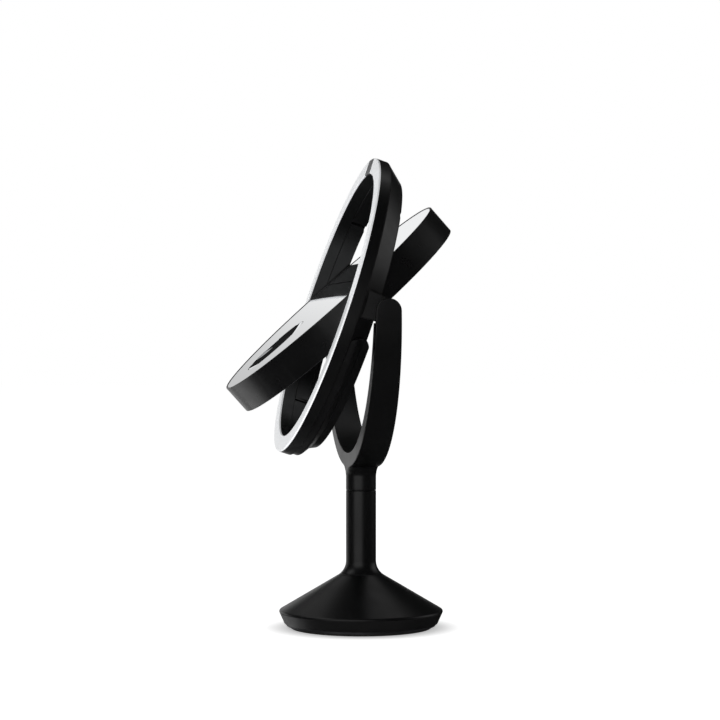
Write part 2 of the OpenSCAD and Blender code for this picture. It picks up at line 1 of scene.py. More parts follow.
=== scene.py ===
"""Looks for the extendable shaving mirror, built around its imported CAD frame.

The visible pieces are modelled again here with rounded edges and stand for their CAD nodes. The pieces
inside keep their CAD meshes. Sizes are in millimetres and angles in degrees until a mesh is made.
Every material is procedural.
"""

import json
import math

import bmesh
import bpy
from mathutils import Matrix, Vector


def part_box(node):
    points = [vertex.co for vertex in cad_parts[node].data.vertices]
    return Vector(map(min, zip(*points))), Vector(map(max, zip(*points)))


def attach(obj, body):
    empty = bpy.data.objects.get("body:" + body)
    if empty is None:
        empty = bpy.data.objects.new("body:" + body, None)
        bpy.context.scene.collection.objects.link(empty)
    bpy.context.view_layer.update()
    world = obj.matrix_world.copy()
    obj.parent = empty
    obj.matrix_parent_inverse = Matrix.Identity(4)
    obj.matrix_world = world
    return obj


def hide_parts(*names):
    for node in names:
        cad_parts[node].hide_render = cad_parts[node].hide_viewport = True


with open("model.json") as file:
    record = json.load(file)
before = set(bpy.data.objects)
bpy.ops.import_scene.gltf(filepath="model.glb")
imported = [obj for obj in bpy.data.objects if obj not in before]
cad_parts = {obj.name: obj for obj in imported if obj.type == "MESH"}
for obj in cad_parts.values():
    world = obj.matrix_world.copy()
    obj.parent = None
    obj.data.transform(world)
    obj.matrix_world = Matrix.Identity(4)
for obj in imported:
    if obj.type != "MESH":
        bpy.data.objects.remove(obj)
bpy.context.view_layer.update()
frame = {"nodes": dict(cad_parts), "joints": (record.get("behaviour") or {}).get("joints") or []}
NODES = frame["nodes"]
MM = 0.001
SPIN_STEPS = 288          # steps of a full turn

# ---- Sizes that the frame gives ----


def low_corner(node):
    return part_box(node)[0] / MM


def high_corner(node):
    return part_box(node)[1] / MM


def joint_place(name):
    """The point that a joint turns about."""
    joint = next(j for j in frame["joints"] if j["name"] == name)
    return Vector(joint["pos_m"]) / MM


STEM_TOP = high_corner("stem_tube").z
NECK_FOOT = low_corner("yoke").z
FOOT_R = high_corner("base_foot").x
FOOT_T = high_corner("base_foot").z
PLATE_TOP = high_corner("base_plate").z
PLATE_R = high_corner("base_plate").x
BASE_R = high_corner("base_shell").x
YOKE_OUTER = high_corner("yoke").x
RING_R = high_corner("front_frame").x
PIVOT = joint_place("head_tilt")

# ---- Sizes that repeat the design's ----

STEM_R = 9.3
EDGE_Z = 10.1             # height of the base's widest line
EDGE_ROUND = 1.6
CONE_ANGLE = 30.6
FLARE_R = 10.5
SEAM_Z = 33.5             # seam between the cone and the stem
SHELL_WALL = 3.2
YOKE_WALL = 8.9
YOKE_INNER = YOKE_OUTER - YOKE_WALL
ARM_HALF = 7.44
BEND_Z = PIVOT.z + 2.64
NECK_ROUND = 7.0
POCKET_R = 10.2
CHEEK_X = 93.5
HOLE_R = 84.9
WALL_DEPTH = 7.5
RING_DEPTH = 18.2
PIVOT_TO_FRONT = 23.3
RING_DROP = 0.96
HEAD_TILT = 18.06
AXLE_DEPTH = 8.44
AXLE_REACH = 91           # half the length of the cut for the axle
DISC_R = 84.0
DISC_T = 18.8
DISC_TURN = 30.0
BOWL_R = 12000.0
SPOT_R = 22.3
SPOT_T = 5.0
SPOT_OFFSET = 44.0
SPOT_BOWL_R = 75.0
INNER_WALL_DEPTH = 8.5
LINER_T = 1.2
SLOT_ANGLE = 45.0
SLOT_HALF = 0.54
COVER_T = 1.5
LINER_CORNER = 3.7
WINDOW_HALF = 8.35
HOUSING_R = RING_R - 1.1
HOUSING_WALL_DEPTH = 12.1
HOUSING_DEPTH = 20.9
HOUSING_START = 192.0
HOUSING_END = 348.0
ROOM_START = 201.0
ROOM_END = 339.0


def moved(x, y, z):
    """A placement shifted by that much."""
    return Matrix.Translation((x, y, z))


def turned(angle, axis):
    """A placement turned about one of its axes."""
    return Matrix.Rotation(math.radians(angle), 4, axis)


PIVOT_FRAME = moved(0, 0, PIVOT.z) @ turned(90 - HEAD_TILT, "X")
RING_FRAME = PIVOT_FRAME @ moved(0, -RING_DROP, PIVOT_TO_FRONT)
DISC_FRAME = (RING_FRAME @ moved(0, 0, -AXLE_DEPTH)
              @ turned(-DISC_TURN, "X"))
BASE_FRAME = Matrix.Identity(4)


# ---- Outlines ----

def sin(angle):
    return math.sin(math.radians(angle))


def cos(angle):
    return math.cos(math.radians(angle))


def tan(angle):
    return math.tan(math.radians(angle))


def arc(centre, r, start, end, steps=16):
    """Points of an arc from one angle to another."""
    turns = [start + (end - start) * i / steps for i in range(steps + 1)]
    return [(centre[0] + r * cos(a), centre[1] + r * sin(a)) for a in turns]


def rounded(points, radius=0.3, steps=4):
    """A closed outline with its corners rounded. A point may carry a radius of its own."""
    result = []
    count = len(points)
    for i, point in enumerate(points):
        here = Vector(point[:2])
        before = Vector(points[i - 1][:2]) - here
        after = Vector(points[(i + 1) % count][:2]) - here
        wanted = point[2] if len(point) > 2 else radius
        turn = before.angle(after, math.pi)
        if wanted == 0 or turn > math.radians(165):
            result.append(tuple(here))
            continue
        reach = min(wanted / math.tan(turn / 2), 0.45 * before.length, 0.45 * after.length)
        r = reach * math.tan(turn / 2)
        a = before.normalized()
        b = after.normalized()
        centre = here + (a + b).normalized() * (r / math.sin(turn / 2))
        first = here + a * reach - centre
        last = here + b * reach - centre
        sweep = first.angle(last)
        for k in range(steps + 1):
            share = k / steps
            spot = (first * math.sin((1 - share) * sweep) + last * math.sin(share * sweep)) / math.sin(sweep)
            result.append(tuple(centre + spot))
    return result


# ---- Meshes ----

def new_piece(name, bm, placement=BASE_FRAME):
    """An object from a bmesh in millimetres, placed in the shared frame and scaled to metres."""
    bmesh.ops.remove_doubles(bm, verts=bm.verts, dist=1e-4)
    bmesh.ops.recalc_face_normals(bm, faces=bm.faces)
    bm.transform(Matrix.Scale(MM, 4) @ placement)
    mesh = bpy.data.meshes.new(name)
    bm.to_mesh(mesh)
    bm.free()
    piece = bpy.data.objects.new(name, mesh)
    bpy.context.scene.collection.objects.link(piece)
    return piece


def lathe(name, profile, placement=BASE_FRAME, start=0.0, end=360.0):
    """A closed outline of (radius, height) turned about the placement's z axis."""
    bm = bmesh.new()
    whole = end - start >= 360
    steps = SPIN_STEPS if whole else max(2, round((end - start) * SPIN_STEPS / 360))
    rings = []
    for i in range(steps if whole else steps + 1):
        a = start + (end - start) * i / steps
        rings.append([bm.verts.new((r * cos(a), r * sin(a), z)) for r, z in profile])
    count = len(profile)
    for i in range(steps):
        here = rings[i]
        there = rings[(i + 1) % len(rings)]
        for k in range(count):
            n = (k + 1) % count
            if profile[k][0] + profile[n][0] > 0:
                bm.faces.new((here[k], there[k], there[n], here[n]))
    if not whole:
        bm.faces.new(rings[0])
        bm.faces.new(rings[-1])
    return new_piece(name, bm, placement)


def prism(name, outline, low, high, placement=BASE_FRAME):
    """A closed outline drawn in the placement's xy plane, from one height to another."""
    bm = bmesh.new()
    lower = [bm.verts.new((x, y, low)) for x, y in outline]
    upper = [bm.verts.new((x, y, high)) for x, y in outline]
    count = len(outline)
    for k in range(count):
        n = (k + 1) % count
        bm.faces.new((lower[k], lower[n], upper[n], upper[k]))
    bm.faces.new(lower)
    bm.faces.new(upper)
    return new_piece(name, bm, placement)


def block(name, low, high, placement=BASE_FRAME):
    """A box between two corners, used as a cutter."""
    outline = [(low[0], low[1]), (high[0], low[1]), (high[0], high[1]), (low[0], high[1])]
    return prism(name, outline, low[2], high[2], placement)


def rod(name, r, low, high, placement=BASE_FRAME):
    """A cylinder about the placement's z axis, used as a cutter."""
    return lathe(name, [(0, low), (r, low), (r, high), (0, high)], placement)


def along_x(placement):
    """A placement whose z axis points along the shared x axis."""
    return placement @ turned(90, "Y")


def freeze(piece):
    """Applies a piece's modifiers."""
    graph = bpy.context.evaluated_depsgraph_get()
    mesh = bpy.data.meshes.new_from_object(piece.evaluated_get(graph), preserve_all_data_layers=True,
                                           depsgraph=graph)
    piece.modifiers.clear()
    piece.data = mesh
    mesh.name = piece.name


def mirrored(piece, name):
    """A copy of a finished piece on the other side."""
    mesh = piece.data.copy()
    mesh.name = name
    mesh.transform(Matrix.Scale(-1, 4, (1, 0, 0)))
    mesh.flip_normals()
    other = bpy.data.objects.new(name, mesh)
    bpy.context.scene.collection.objects.link(other)
    return finish_edges(other)


def combine(piece, other, operation="DIFFERENCE"):
    """Cuts, joins or intersects a piece with another object, which is used up."""
    modifier = piece.modifiers.new("combine", "BOOLEAN")
    modifier.operation = operation
    modifier.solver = "EXACT"
    modifier.object = other
    freeze(piece)
    bpy.data.objects.remove(other)
    return piece


def bevel_edges(piece, width, angle=40.0):
    """Bevels the edges that turn by more than an angle."""
    bevel = piece.modifiers.new("bevel", "BEVEL")
    bevel.width = width * MM
    bevel.segments = 3
    bevel.limit_method = "ANGLE"
    bevel.angle_limit = math.radians(angle)
    freeze(piece)


def finish_edges(piece, width=0.0, angle=40.0):
    """Bevels what is still sharp, then shades smooth with flat faces kept flat."""
    if width:
        bevel_edges(piece, width, angle)
    mesh = piece.data
    mesh.polygons.foreach_set("use_smooth", [True] * len(mesh.polygons))
    mesh.set_sharp_from_angle(angle=math.radians(angle))
    weighted = piece.modifiers.new("weighted", "WEIGHTED_NORMAL")
    weighted.keep_sharp = True
    freeze(piece)
    return piece


# ---- Materials ----

class Shader:
    """A node material: a principled surface whose colour, roughness and bump come from noise."""

    def __init__(self, name, colour, roughness, **numbers):
        self.material = bpy.data.materials.new(name)
        self.material.use_nodes = True
        self.nodes = self.material.node_tree.nodes
        self.links = self.material.node_tree.links
        self.surface = self.nodes["Principled BSDF"]
        self.place = self.nodes.new("ShaderNodeTexCoord").outputs["Object"]
        self.surface.inputs["Base Color"].default_value = (*colour, 1)
        self.surface.inputs["Roughness"].default_value = roughness
        for socket, number in numbers.items():
            self.surface.inputs[socket.replace("_", " ").title().replace("Ior", "IOR")].default_value = number
        self.colour = colour
        self.roughness = roughness
        self.height = None

    def noise(self, scale, detail=3.0, stretch=None):
        """A noise factor. The scale counts its features over a metre."""
        node = self.nodes.new("ShaderNodeTexNoise")
        node.inputs["Scale"].default_value = scale
        node.inputs["Detail"].default_value = detail
        vector = self.place
        if stretch:
            mapping = self.nodes.new("ShaderNodeMapping")
            mapping.inputs["Scale"].default_value = stretch
            self.links.new(self.place, mapping.inputs["Vector"])
            vector = mapping.outputs["Vector"]
        self.links.new(vector, node.inputs["Vector"])
        return node.outputs["Fac"]

    def ranged(self, factor, low, high, start=0.3, end=0.7):
        """A factor stretched from the range start to end onto low to high."""
        node = self.nodes.new("ShaderNodeMapRange")
        node.inputs["From Min"].default_value = start
        node.inputs["From Max"].default_value = end
        node.inputs["To Min"].default_value = low
        node.inputs["To Max"].default_value = high
        self.links.new(factor, node.inputs["Value"])
        return node.outputs["Result"]

    def mottle(self, scale, other, amount=1.0):
        """Mixes the colour with another by broad noise."""
        mix = self.nodes.new("ShaderNodeMix")
        mix.data_type = "RGBA"
        self.links.new(self.ranged(self.noise(scale), 0, amount), mix.inputs["Factor"])
        mix.inputs["A"].default_value = (*self.colour, 1)
        mix.inputs["B"].default_value = (*other, 1)
        self.links.new(mix.outputs["Result"], self.surface.inputs["Base Color"])
        self.mixed = mix.outputs["Result"]
        return self

    def worn(self, colour, amount=0.5):
        """Lightens the edges, where handling wears them."""
        mix = self.nodes.new("ShaderNodeMix")
        mix.data_type = "RGBA"
        edges = self.nodes.new("ShaderNodeNewGeometry").outputs["Pointiness"]
        self.links.new(self.ranged(edges, 0, amount, 0.52, 0.62), mix.inputs["Factor"])
        self.links.new(self.mixed, mix.inputs["A"])
        mix.inputs["B"].default_value = (*colour, 1)
        self.links.new(mix.outputs["Result"], self.surface.inputs["Base Color"])
        return self

    def uneven(self, scale, amount, stretch=None):
        """Varies the roughness."""
        noise = self.noise(scale, 4.0, stretch)
        spread = self.ranged(noise, self.roughness - amount, self.roughness + amount)
        self.links.new(spread, self.surface.inputs["Roughness"])
        return self

    def grain(self, scale, height, stretch=None, strength=1.0):
        """Adds a bump of that height in millimetres over the one before it."""
        bump = self.nodes.new("ShaderNodeBump")
        bump.inputs["Strength"].default_value = strength
        bump.inputs["Distance"].default_value = height * MM
        self.links.new(self.noise(scale, 5.0, stretch), bump.inputs["Height"])
        if self.height:
            self.links.new(self.height, bump.inputs["Normal"])
        self.height = bump.outputs["Normal"]
        self.links.new(self.height, self.surface.inputs["Normal"])
        return self


def black_plastic():
    """Satin moulded plastic with a fine spark-eroded grain."""
    shader = Shader("black_plastic", (0.0042, 0.0042, 0.0046), 0.34, ior=1.5)
    shader.mottle(60, (0.0062, 0.0062, 0.0066)).worn((0.016, 0.016, 0.0165), 0.3)
    shader.uneven(140, 0.035).grain(1500, 0.003).grain(4200, 0.001)
    return shader.material


def black_disc():
    """The disc's rim: the same plastic, a little smoother."""
    shader = Shader("black_rim", (0.004, 0.004, 0.0044), 0.3, ior=1.5)
    shader.mottle(50, (0.0058, 0.0058, 0.0062)).worn((0.016, 0.016, 0.0165), 0.3)
    shader.uneven(110, 0.03).grain(1700, 0.0025).grain(4400, 0.001)
    return shader.material


def black_trim():
    """Matte plastic of the base's band and the pivot blocks."""
    shader = Shader("black_trim", (0.006, 0.006, 0.0064), 0.42, ior=1.5)
    shader.mottle(70, (0.0085, 0.0085, 0.009)).worn((0.02, 0.02, 0.0205), 0.3)
    shader.uneven(150, 0.04).grain(1300, 0.004).grain(4200, 0.0015)
    return shader.material


def black_paint():
    """Satin powder coat over metal: low, soft ripples under a fine grain."""
    shader = Shader("black_paint", (0.0036, 0.0036, 0.004), 0.35, ior=1.5)
    shader.mottle(45, (0.0052, 0.0052, 0.0056)).worn((0.014, 0.014, 0.0145), 0.3)
    shader.uneven(90, 0.03).grain(420, 0.002).grain(2600, 0.0014)
    return shader.material


def rubber():
    shader = Shader("foot_rubber", (0.017, 0.017, 0.018), 0.78, ior=1.45)
    shader.mottle(80, (0.03, 0.029, 0.028)).uneven(200, 0.08).grain(1100, 0.03).grain(4000, 0.008)
    return shader.material


def coated_steel():
    """Black zinc on the base plate."""
    shader = Shader("coated_steel", (0.03, 0.03, 0.032), 0.45, metallic=0.6)
    shader.mottle(60, (0.05, 0.05, 0.055)).uneven(180, 0.08).grain(1800, 0.004)
    return shader.material


def brushed_steel():
    shader = Shader("brushed_steel", (0.56, 0.57, 0.59), 0.28, metallic=1.0)
    shader.mottle(90, (0.46, 0.46, 0.48)).uneven(160, 0.08, (1, 1, 40)).grain(900, 0.004, (1, 1, 0.05))
    return shader.material


def chrome():
    shader = Shader("chromed_tube", (0.74, 0.75, 0.77), 0.1, metallic=1.0)
    shader.mottle(40, (0.68, 0.69, 0.72)).uneven(120, 0.04, (1, 1, 30)).grain(2200, 0.0008)
    return shader.material


def cast_iron():
    shader = Shader("cast_weight", (0.1, 0.1, 0.105), 0.62, metallic=0.7)
    shader.mottle(120, (0.16, 0.14, 0.13)).uneven(240, 0.1).grain(900, 0.08).grain(3600, 0.02)
    return shader.material


def carrier_plastic():
    shader = Shader("carrier_plastic", (0.028, 0.028, 0.03), 0.5, ior=1.5)
    shader.mottle(70, (0.04, 0.04, 0.042)).uneven(150, 0.06).grain(1500, 0.01)
    return shader.material


def nylon():
    shader = Shader("nylon", (0.74, 0.72, 0.67), 0.4, ior=1.53)
    shader.mottle(90, (0.68, 0.66, 0.6)).uneven(160, 0.06).grain(1800, 0.006)
    return shader.material


def diffuser():
    """Opal acrylic, lit from behind."""
    shader = Shader("diffuser", (0.88, 0.885, 0.9), 0.33, ior=1.49, emission_strength=0.3)
    shader.surface.inputs["Emission Color"].default_value = (0.97, 0.985, 1.0, 1)
    shader.mottle(50, (0.84, 0.845, 0.86)).uneven(130, 0.05).grain(2400, 0.002)
    return shader.material


def sensor_lens():
    """Smoked, see-through plastic over the sensor."""
    shader = Shader("sensor_lens", (0.07, 0.07, 0.075), 0.34, ior=1.45)
    shader.mottle(120, (0.09, 0.09, 0.095)).uneven(160, 0.04).grain(2600, 0.001)
    return shader.material


def circuit_board():
    shader = Shader("circuit_board", (0.015, 0.13, 0.055), 0.32, ior=1.5)
    shader.mottle(700, (0.02, 0.19, 0.085)).uneven(300, 0.06).grain(900, 0.01)
    return shader.material


def white_board():
    shader = Shader("white_board", (0.84, 0.84, 0.82), 0.35, ior=1.5)
    shader.mottle(300, (0.78, 0.78, 0.76)).uneven(300, 0.06).grain(900, 0.006)
    return shader.material


def led_package():
    shader = Shader("led_package", (0.84, 0.71, 0.25), 0.3, ior=1.5)
    shader.mottle(600, (0.9, 0.8, 0.42)).uneven(400, 0.05).grain(2000, 0.006)
    return shader.material


def battery_wrap():
    shader = Shader("battery_wrap", (0.46, 0.5, 0.56), 0.36, metallic=0.8)
    shader.mottle(120, (0.38, 0.42, 0.48)).uneven(140, 0.08).grain(500, 0.03)
    return shader.material


def mirror_glass():
    """Silvered glass, with the faintest haze of wiped-off film."""
    shader = Shader("mirror_glass", (0.79, 0.81, 0.825), 0.025, metallic=1.0)
    shader.mottle(18, (0.775, 0.797, 0.815)).uneven(26, 0.012, (1.0, 2.4, 1.0)).grain(40, 0.0003)
    return shader.material


def spot_glass():
    """The stronger mirror's silvering, a little brighter."""
    shader = Shader("spot_glass", (0.8, 0.82, 0.835), 0.02, metallic=1.0)
    shader.mottle(22, (0.785, 0.805, 0.82)).uneven(30, 0.01, (1.0, 2.4, 1.0)).grain(50, 0.0002)
    return shader.material


MAKERS = [black_plastic, black_disc, black_trim, black_paint, rubber, coated_steel, brushed_steel, chrome,
          cast_iron, carrier_plastic, nylon, diffuser, sensor_lens, circuit_board, white_board, led_package,
          battery_wrap, mirror_glass, spot_glass]
MATERIALS = {make.__name__: make() for make in MAKERS}


def dress(piece, material):
    piece.data.materials.clear()
    piece.data.materials.append(MATERIALS[material])


def place(piece, body, slot, material, *nodes):
    """Gives a finished piece its material and its body, and hides the CAD nodes that it stands for. The slot
    is not used.
    """
    dress(piece, material)
    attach(piece, body)
    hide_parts(*nodes)


# ---- Base and stem ----

CONE_FOOT_R = BASE_R - EDGE_ROUND * (1 - sin(CONE_ANGLE))
CONE_FOOT_Z = EDGE_Z + EDGE_ROUND * cos(CONE_ANGLE)
FLARE_CENTRE_R = STEM_R + FLARE_R
FLARE_TURN = 90 - CONE_ANGLE


def cone_z(r):
    return CONE_FOOT_Z + (CONE_FOOT_R - r) * tan(CONE_ANGLE)


FLARE_Z = FLARE_R * sin(FLARE_TURN) + cone_z(FLARE_CENTRE_R - FLARE_R * cos(FLARE_TURN))
SEAM_TURN = math.degrees(math.asin((FLARE_Z - SEAM_Z) / FLARE_R))
SEAM_R = FLARE_CENTRE_R - FLARE_R * cos(SEAM_TURN)
SEAT_R = 19.0
SEAT_Z = cone_z(SEAT_R) - SHELL_WALL


def foot():
    tread = [(0, 0.5), (FOOT_R - 9, 0.5), (FOOT_R - 8.5, 0), (FOOT_R, 0, 0.45), (FOOT_R, FOOT_T, 0.2),
             (0, FOOT_T)]
    piece = lathe("foot_pad", rounded(tread, 0))
    place(finish_edges(piece), "base", "rubber", "rubber", "base_foot")


def trim():
    inner_r = PLATE_R + 0.2
    low = PLATE_TOP - 0.5
    outline = [(inner_r, low), (BASE_R - 3.2, low, 0.35), (BASE_R - 0.1, EDGE_Z - 0.3, 0.2),
               (BASE_R - 0.4, EDGE_Z, 0.2), (BASE_R - 3, EDGE_Z), (inner_r, EDGE_Z - 3.2)]
    piece = lathe("trim_band", rounded(outline, 0.1))
    place(finish_edges(piece), "base", "black_trim", "black_trim", "base_trim")


def cone():
    edge = arc((BASE_R - EDGE_ROUND, EDGE_Z), EDGE_ROUND, 0, FLARE_TURN, 12)
    slope = [(r, cone_z(r)) for r in (45, 38, 31, 25)]
    flare = arc((FLARE_CENTRE_R, FLARE_Z), FLARE_R, 180 + FLARE_TURN, 180 + SEAM_TURN, 10)
    foot_r = CONE_FOOT_R - (EDGE_Z + SHELL_WALL - CONE_FOOT_Z) / tan(CONE_ANGLE)
    bore_r = STEM_R + 0.02
    inside = [(SEAM_R - 0.25, SEAM_Z), (bore_r, SEAM_Z), (bore_r, SEAT_Z), (SEAT_R, SEAT_Z), (foot_r, EDGE_Z)]
    piece = lathe("cone_shell", edge + slope + flare[:-1] + inside)
    place(finish_edges(piece), "base", "black_shell", "black_paint", "base_shell")


def stem():
    bore_r = STEM_R - 1.4
    foot_z = low_corner("stem_tube").z
    lip = 0.3
    flare = arc((FLARE_CENTRE_R, FLARE_Z), FLARE_R, 180 + SEAM_TURN - 2, 180, 20)
    wall = [(STEM_R, FLARE_Z + (STEM_TOP - lip - FLARE_Z) * i / 6) for i in range(1, 6)]
    top = arc((STEM_R - lip, STEM_TOP - lip), lip, 0, 90, 5)
    inside = [(bore_r, STEM_TOP), (bore_r, foot_z), (STEM_R, foot_z), (STEM_R, SEAM_Z),
              (SEAM_R - 0.3, SEAM_Z)]
    piece = lathe("stem", flare + wall + top + inside)
    place(finish_edges(piece), "base", "black_metal", "black_paint", "stem_tube")


# ---- Yoke ----

def arm_depth(z):
    """Half the yoke's depth at a height: widest at the neck."""
    foot_z = BEND_Z - YOKE_OUTER - 1
    return ARM_HALF + (STEM_R - ARM_HALF) * (PIVOT.z - z) / (PIVOT.z - foot_z)


def yoke_loop(edge, steps=4):
    """The band's section: (distance from the middle of the wall, how far the depth is drawn in, side)."""
    half = YOKE_WALL / 2
    turns = [90 * i / steps for i in range(steps + 1)]
    inner = [(-half + edge * (1 - cos(a)), edge * (1 - sin(a))) for a in turns]
    outer = [(-n, inset) for n, inset in reversed(inner)]
    front = [(n, inset, -1) for n, inset in inner + outer]
    return front + [(n, inset, 1) for n, inset, side in reversed(front)]


def yoke_band():
    """The bend and the arms, with rounded edges and round tops."""
    edge = 0.55
    middle_r = (YOKE_INNER + YOKE_OUTER) / 2
    start = math.degrees(math.asin((BEND_Z - PIVOT.z) / middle_r))
    loop = yoke_loop(edge)
    bm = bmesh.new()
    stations = []

    def top_station(side, turn):
        verts = []
        for n, inset, face in loop:
            z = PIVOT.z + (ARM_HALF - inset) * sin(turn)
            r = middle_r + n
            x = side * math.sqrt(r * r - min(0.0, z - BEND_Z) ** 2)
            verts.append(bm.verts.new((x, face * (ARM_HALF - inset) * cos(turn), z)))
        return verts

    def bend_station(turn):
        verts = []
        for n, inset, face in loop:
            r = middle_r + n
            z = BEND_Z + r * sin(turn)
            verts.append(bm.verts.new((r * cos(turn), face * (arm_depth(z) - inset), z)))
        return verts

    top_steps = 20
    bend_steps = 150
    tops = [90 * i / top_steps for i in range(1, top_steps + 1)]
    stations += [top_station(-1, a) for a in reversed(tops)]
    first = 180 + start
    last = 360 - start
    stations += [bend_station(first + (last - first) * i / bend_steps) for i in range(bend_steps + 1)]
    stations += [top_station(1, a) for a in tops]
    for here, there in zip(stations, stations[1:]):
        for k in range(len(loop)):
            n = (k + 1) % len(loop)
            bm.faces.new((here[k], there[k], there[n], here[n]))
    return new_piece("yoke_casting", bm)


def yoke_neck():
    """The round neck, flaring into the bend: a turned shape whose front and back are drawn in flat."""
    reach = STEM_R + NECK_ROUND
    centre_z = BEND_Z - math.sqrt((YOKE_OUTER + NECK_ROUND) ** 2 - reach ** 2)
    end_r = reach * YOKE_OUTER / (YOKE_OUTER + NECK_ROUND)
    end_z = BEND_Z - (BEND_Z - centre_z) * YOKE_OUTER / (YOKE_OUTER + NECK_ROUND)
    end_turn = math.degrees(math.atan2(end_z - centre_z, reach - end_r))
    lip = arc((STEM_R - 0.3, NECK_FOOT + 0.3), 0.3, -90, 0, 4)
    wall = [(STEM_R, NECK_FOOT + 0.3 + (centre_z - NECK_FOOT - 0.3) * i / 4) for i in range(1, 4)]
    flare = arc((reach, centre_z), NECK_ROUND, 180, 180 - end_turn - 4, 24)
    rows = lip + wall + flare
    bm = bmesh.new()
    rings = []
    for r, z in rows:
        ring = []
        limit = arm_depth(z) - 0.01
        softness = max(0.02, min(0.7, 1.2 * (r - limit)))
        for i in range(SPIN_STEPS):
            a = 360 * i / SPIN_STEPS
            y = r * sin(a)
            blend = max(softness - abs(abs(y) - limit), 0) / softness
            flat = min(abs(y), limit) - (blend * blend * softness / 4 if r > limit else 0)
            ring.append(bm.verts.new((r * cos(a), math.copysign(flat, y), z)))
        rings.append(ring)
    for here, there in zip(rings, rings[1:]):
        for i in range(SPIN_STEPS):
            n = (i + 1) % SPIN_STEPS
            bm.faces.new((here[i], here[n], there[n], there[i]))
    bm.faces.new(rings[0])
    bm.faces.new(rings[-1])
    return new_piece("neck", bm)


def yoke():
    piece = combine(yoke_band(), yoke_neck(), "UNION")
    washer_top = high_corner("swivel_washer").z
    clip_low = low_corner("swivel_clip").z
    clip_high = high_corner("swivel_clip").z
    clip_r = high_corner("swivel_clip").x + 0.02
    spigot_r = high_corner("swivel_spigot").x + 0.05
    bore_top = high_corner("swivel_spigot").z + 0.5
    washer_r = spigot_r + 2.25
    bore = [(0, NECK_FOOT - 1), (washer_r, NECK_FOOT - 1), (washer_r, washer_top), (spigot_r, washer_top),
            (spigot_r, clip_low), (clip_r, clip_low), (clip_r, clip_high), (spigot_r, clip_high),
            (spigot_r, bore_top), (0, bore_top)]
    combine(piece, lathe("bore", bore))
    axis = along_x(moved(0, 0, PIVOT.z))
    for side in (1, -1):
        low, high = sorted((side * (YOKE_INNER - 2), side * CHEEK_X))
        combine(piece, rod("pocket", POCKET_R, low, high, axis))
        low, high = sorted((side * (CHEEK_X - 1), side * (CHEEK_X + 2.4)))
        combine(piece, rod("thread", 2.0, low, high, axis))
    place(finish_edges(piece, 0.3), "yoke", "black_metal", "black_paint", "yoke")


# ---- Ring light ----

def front_frame():
    inner = HOLE_R + 1.4
    outer = RING_R - 1.4
    web = (-4.6, -5.8)
    section = [(HOLE_R, -1, 0.15), (inner, -1), (inner, web[0]), (outer, web[0]), (outer, -1),
               (RING_R, -1, 0.15), (RING_R, -WALL_DEPTH, 0.22), (outer, -WALL_DEPTH), (outer, web[1]),
               (inner, web[1]),
               (inner, -INNER_WALL_DEPTH), (HOLE_R, -INNER_WALL_DEPTH, 0.3)]
    piece = lathe("frame_front", rounded(section, 0), RING_FRAME)
    cut_axle_holes(piece)
    place(finish_edges(piece), "head", "black_plastic", "black_plastic", "front_frame")


def cut_axle_holes(piece, r=3.2):
    """Opens both ends of the disc's axle through a piece."""
    axis = along_x(RING_FRAME @ moved(0, 0, -AXLE_DEPTH))
    for low, high in ((HOLE_R - 2, AXLE_REACH), (-AXLE_REACH, -HOLE_R + 2)):
        combine(piece, rod("hole", r, low, high, axis))


def light_section():
    """The section shared by the diffuser and the sensor's window."""
    inner = HOLE_R + 0.1
    outer = RING_R - 0.1
    tongue_inner = HOLE_R + 1.5
    tongue_outer = RING_R - 1.5
    return rounded([(inner, -1, 0), (tongue_inner, -1, 0), (tongue_inner, -2.2, 0.1),
                    (tongue_outer, -2.2, 0.1), (tongue_outer, -1, 0), (outer, -1, 0),
                    (outer, 0, 0.45), (inner, 0, 0.45)], 0, 6)


def window_box(half):
    return block("window_box", (-half, 0, -6), (half, 2 * RING_R, 4), RING_FRAME)


def diffuser_ring():
    piece = combine(lathe("diffuser_ring", light_section(), RING_FRAME), window_box(WINDOW_HALF))
    place(finish_edges(piece, 0.12, 60), "head", "diffuser", "diffuser", "light_diffuser")


def window():
    piece = combine(lathe("window", light_section(), RING_FRAME), window_box(WINDOW_HALF - 0.02), "INTERSECT")
    place(finish_edges(piece, 0.12, 60), "head", "sensor_lens", "sensor_lens", "sensor_window")


SLOPE = Vector((HOLE_R + 1 - RING_R, WALL_DEPTH - RING_DEPTH))
INWARD = COVER_T * Vector((SLOPE.y, -SLOPE.x)).normalized()
LINER_R = HOLE_R + LINER_T


def on_slope(point, r):
    """Height of the chamfer's line through a point, at a radius."""
    return point.y + (r - point.x) * SLOPE.y / SLOPE.x


def cover_section():
    corner = Vector((RING_R, -WALL_DEPTH))
    inner = corner + INWARD
    inner_r = inner.x + (-WALL_DEPTH - inner.y) * SLOPE.x / SLOPE.y
    return rounded([(RING_R, -WALL_DEPTH, 0.22), (LINER_R, on_slope(corner, LINER_R), 0.1),
                    (LINER_R, on_slope(inner, LINER_R), 0), (inner_r, -WALL_DEPTH, 0)], 0)


def liner_section():
    return rounded([(HOLE_R, -INNER_WALL_DEPTH, 0.3), (LINER_R, -INNER_WALL_DEPTH, 0),
                    (LINER_R, -RING_DEPTH + 0.2, 0), (HOLE_R + 1, -RING_DEPTH, 0.2),
                    (HOLE_R, -RING_DEPTH, 0.3)], 0)


def block_outline(grow=0.0):
    """A pivot block seen along the tilt axis: straight sides running into a round rear end."""
    half = 8.9 + grow
    front = 17.3 + grow
    round_r = 7.05 + grow
    turn = math.degrees(math.atan2(half, front)) + math.degrees(math.acos(round_r / math.hypot(front, half)))
    return [(-half, front), (half, front)] + arc((0, 0), round_r, 90 - turn, turn - 270, 40)


BLOCK_FRAME = PIVOT_FRAME @ turned(90, "Z") @ turned(90, "X")


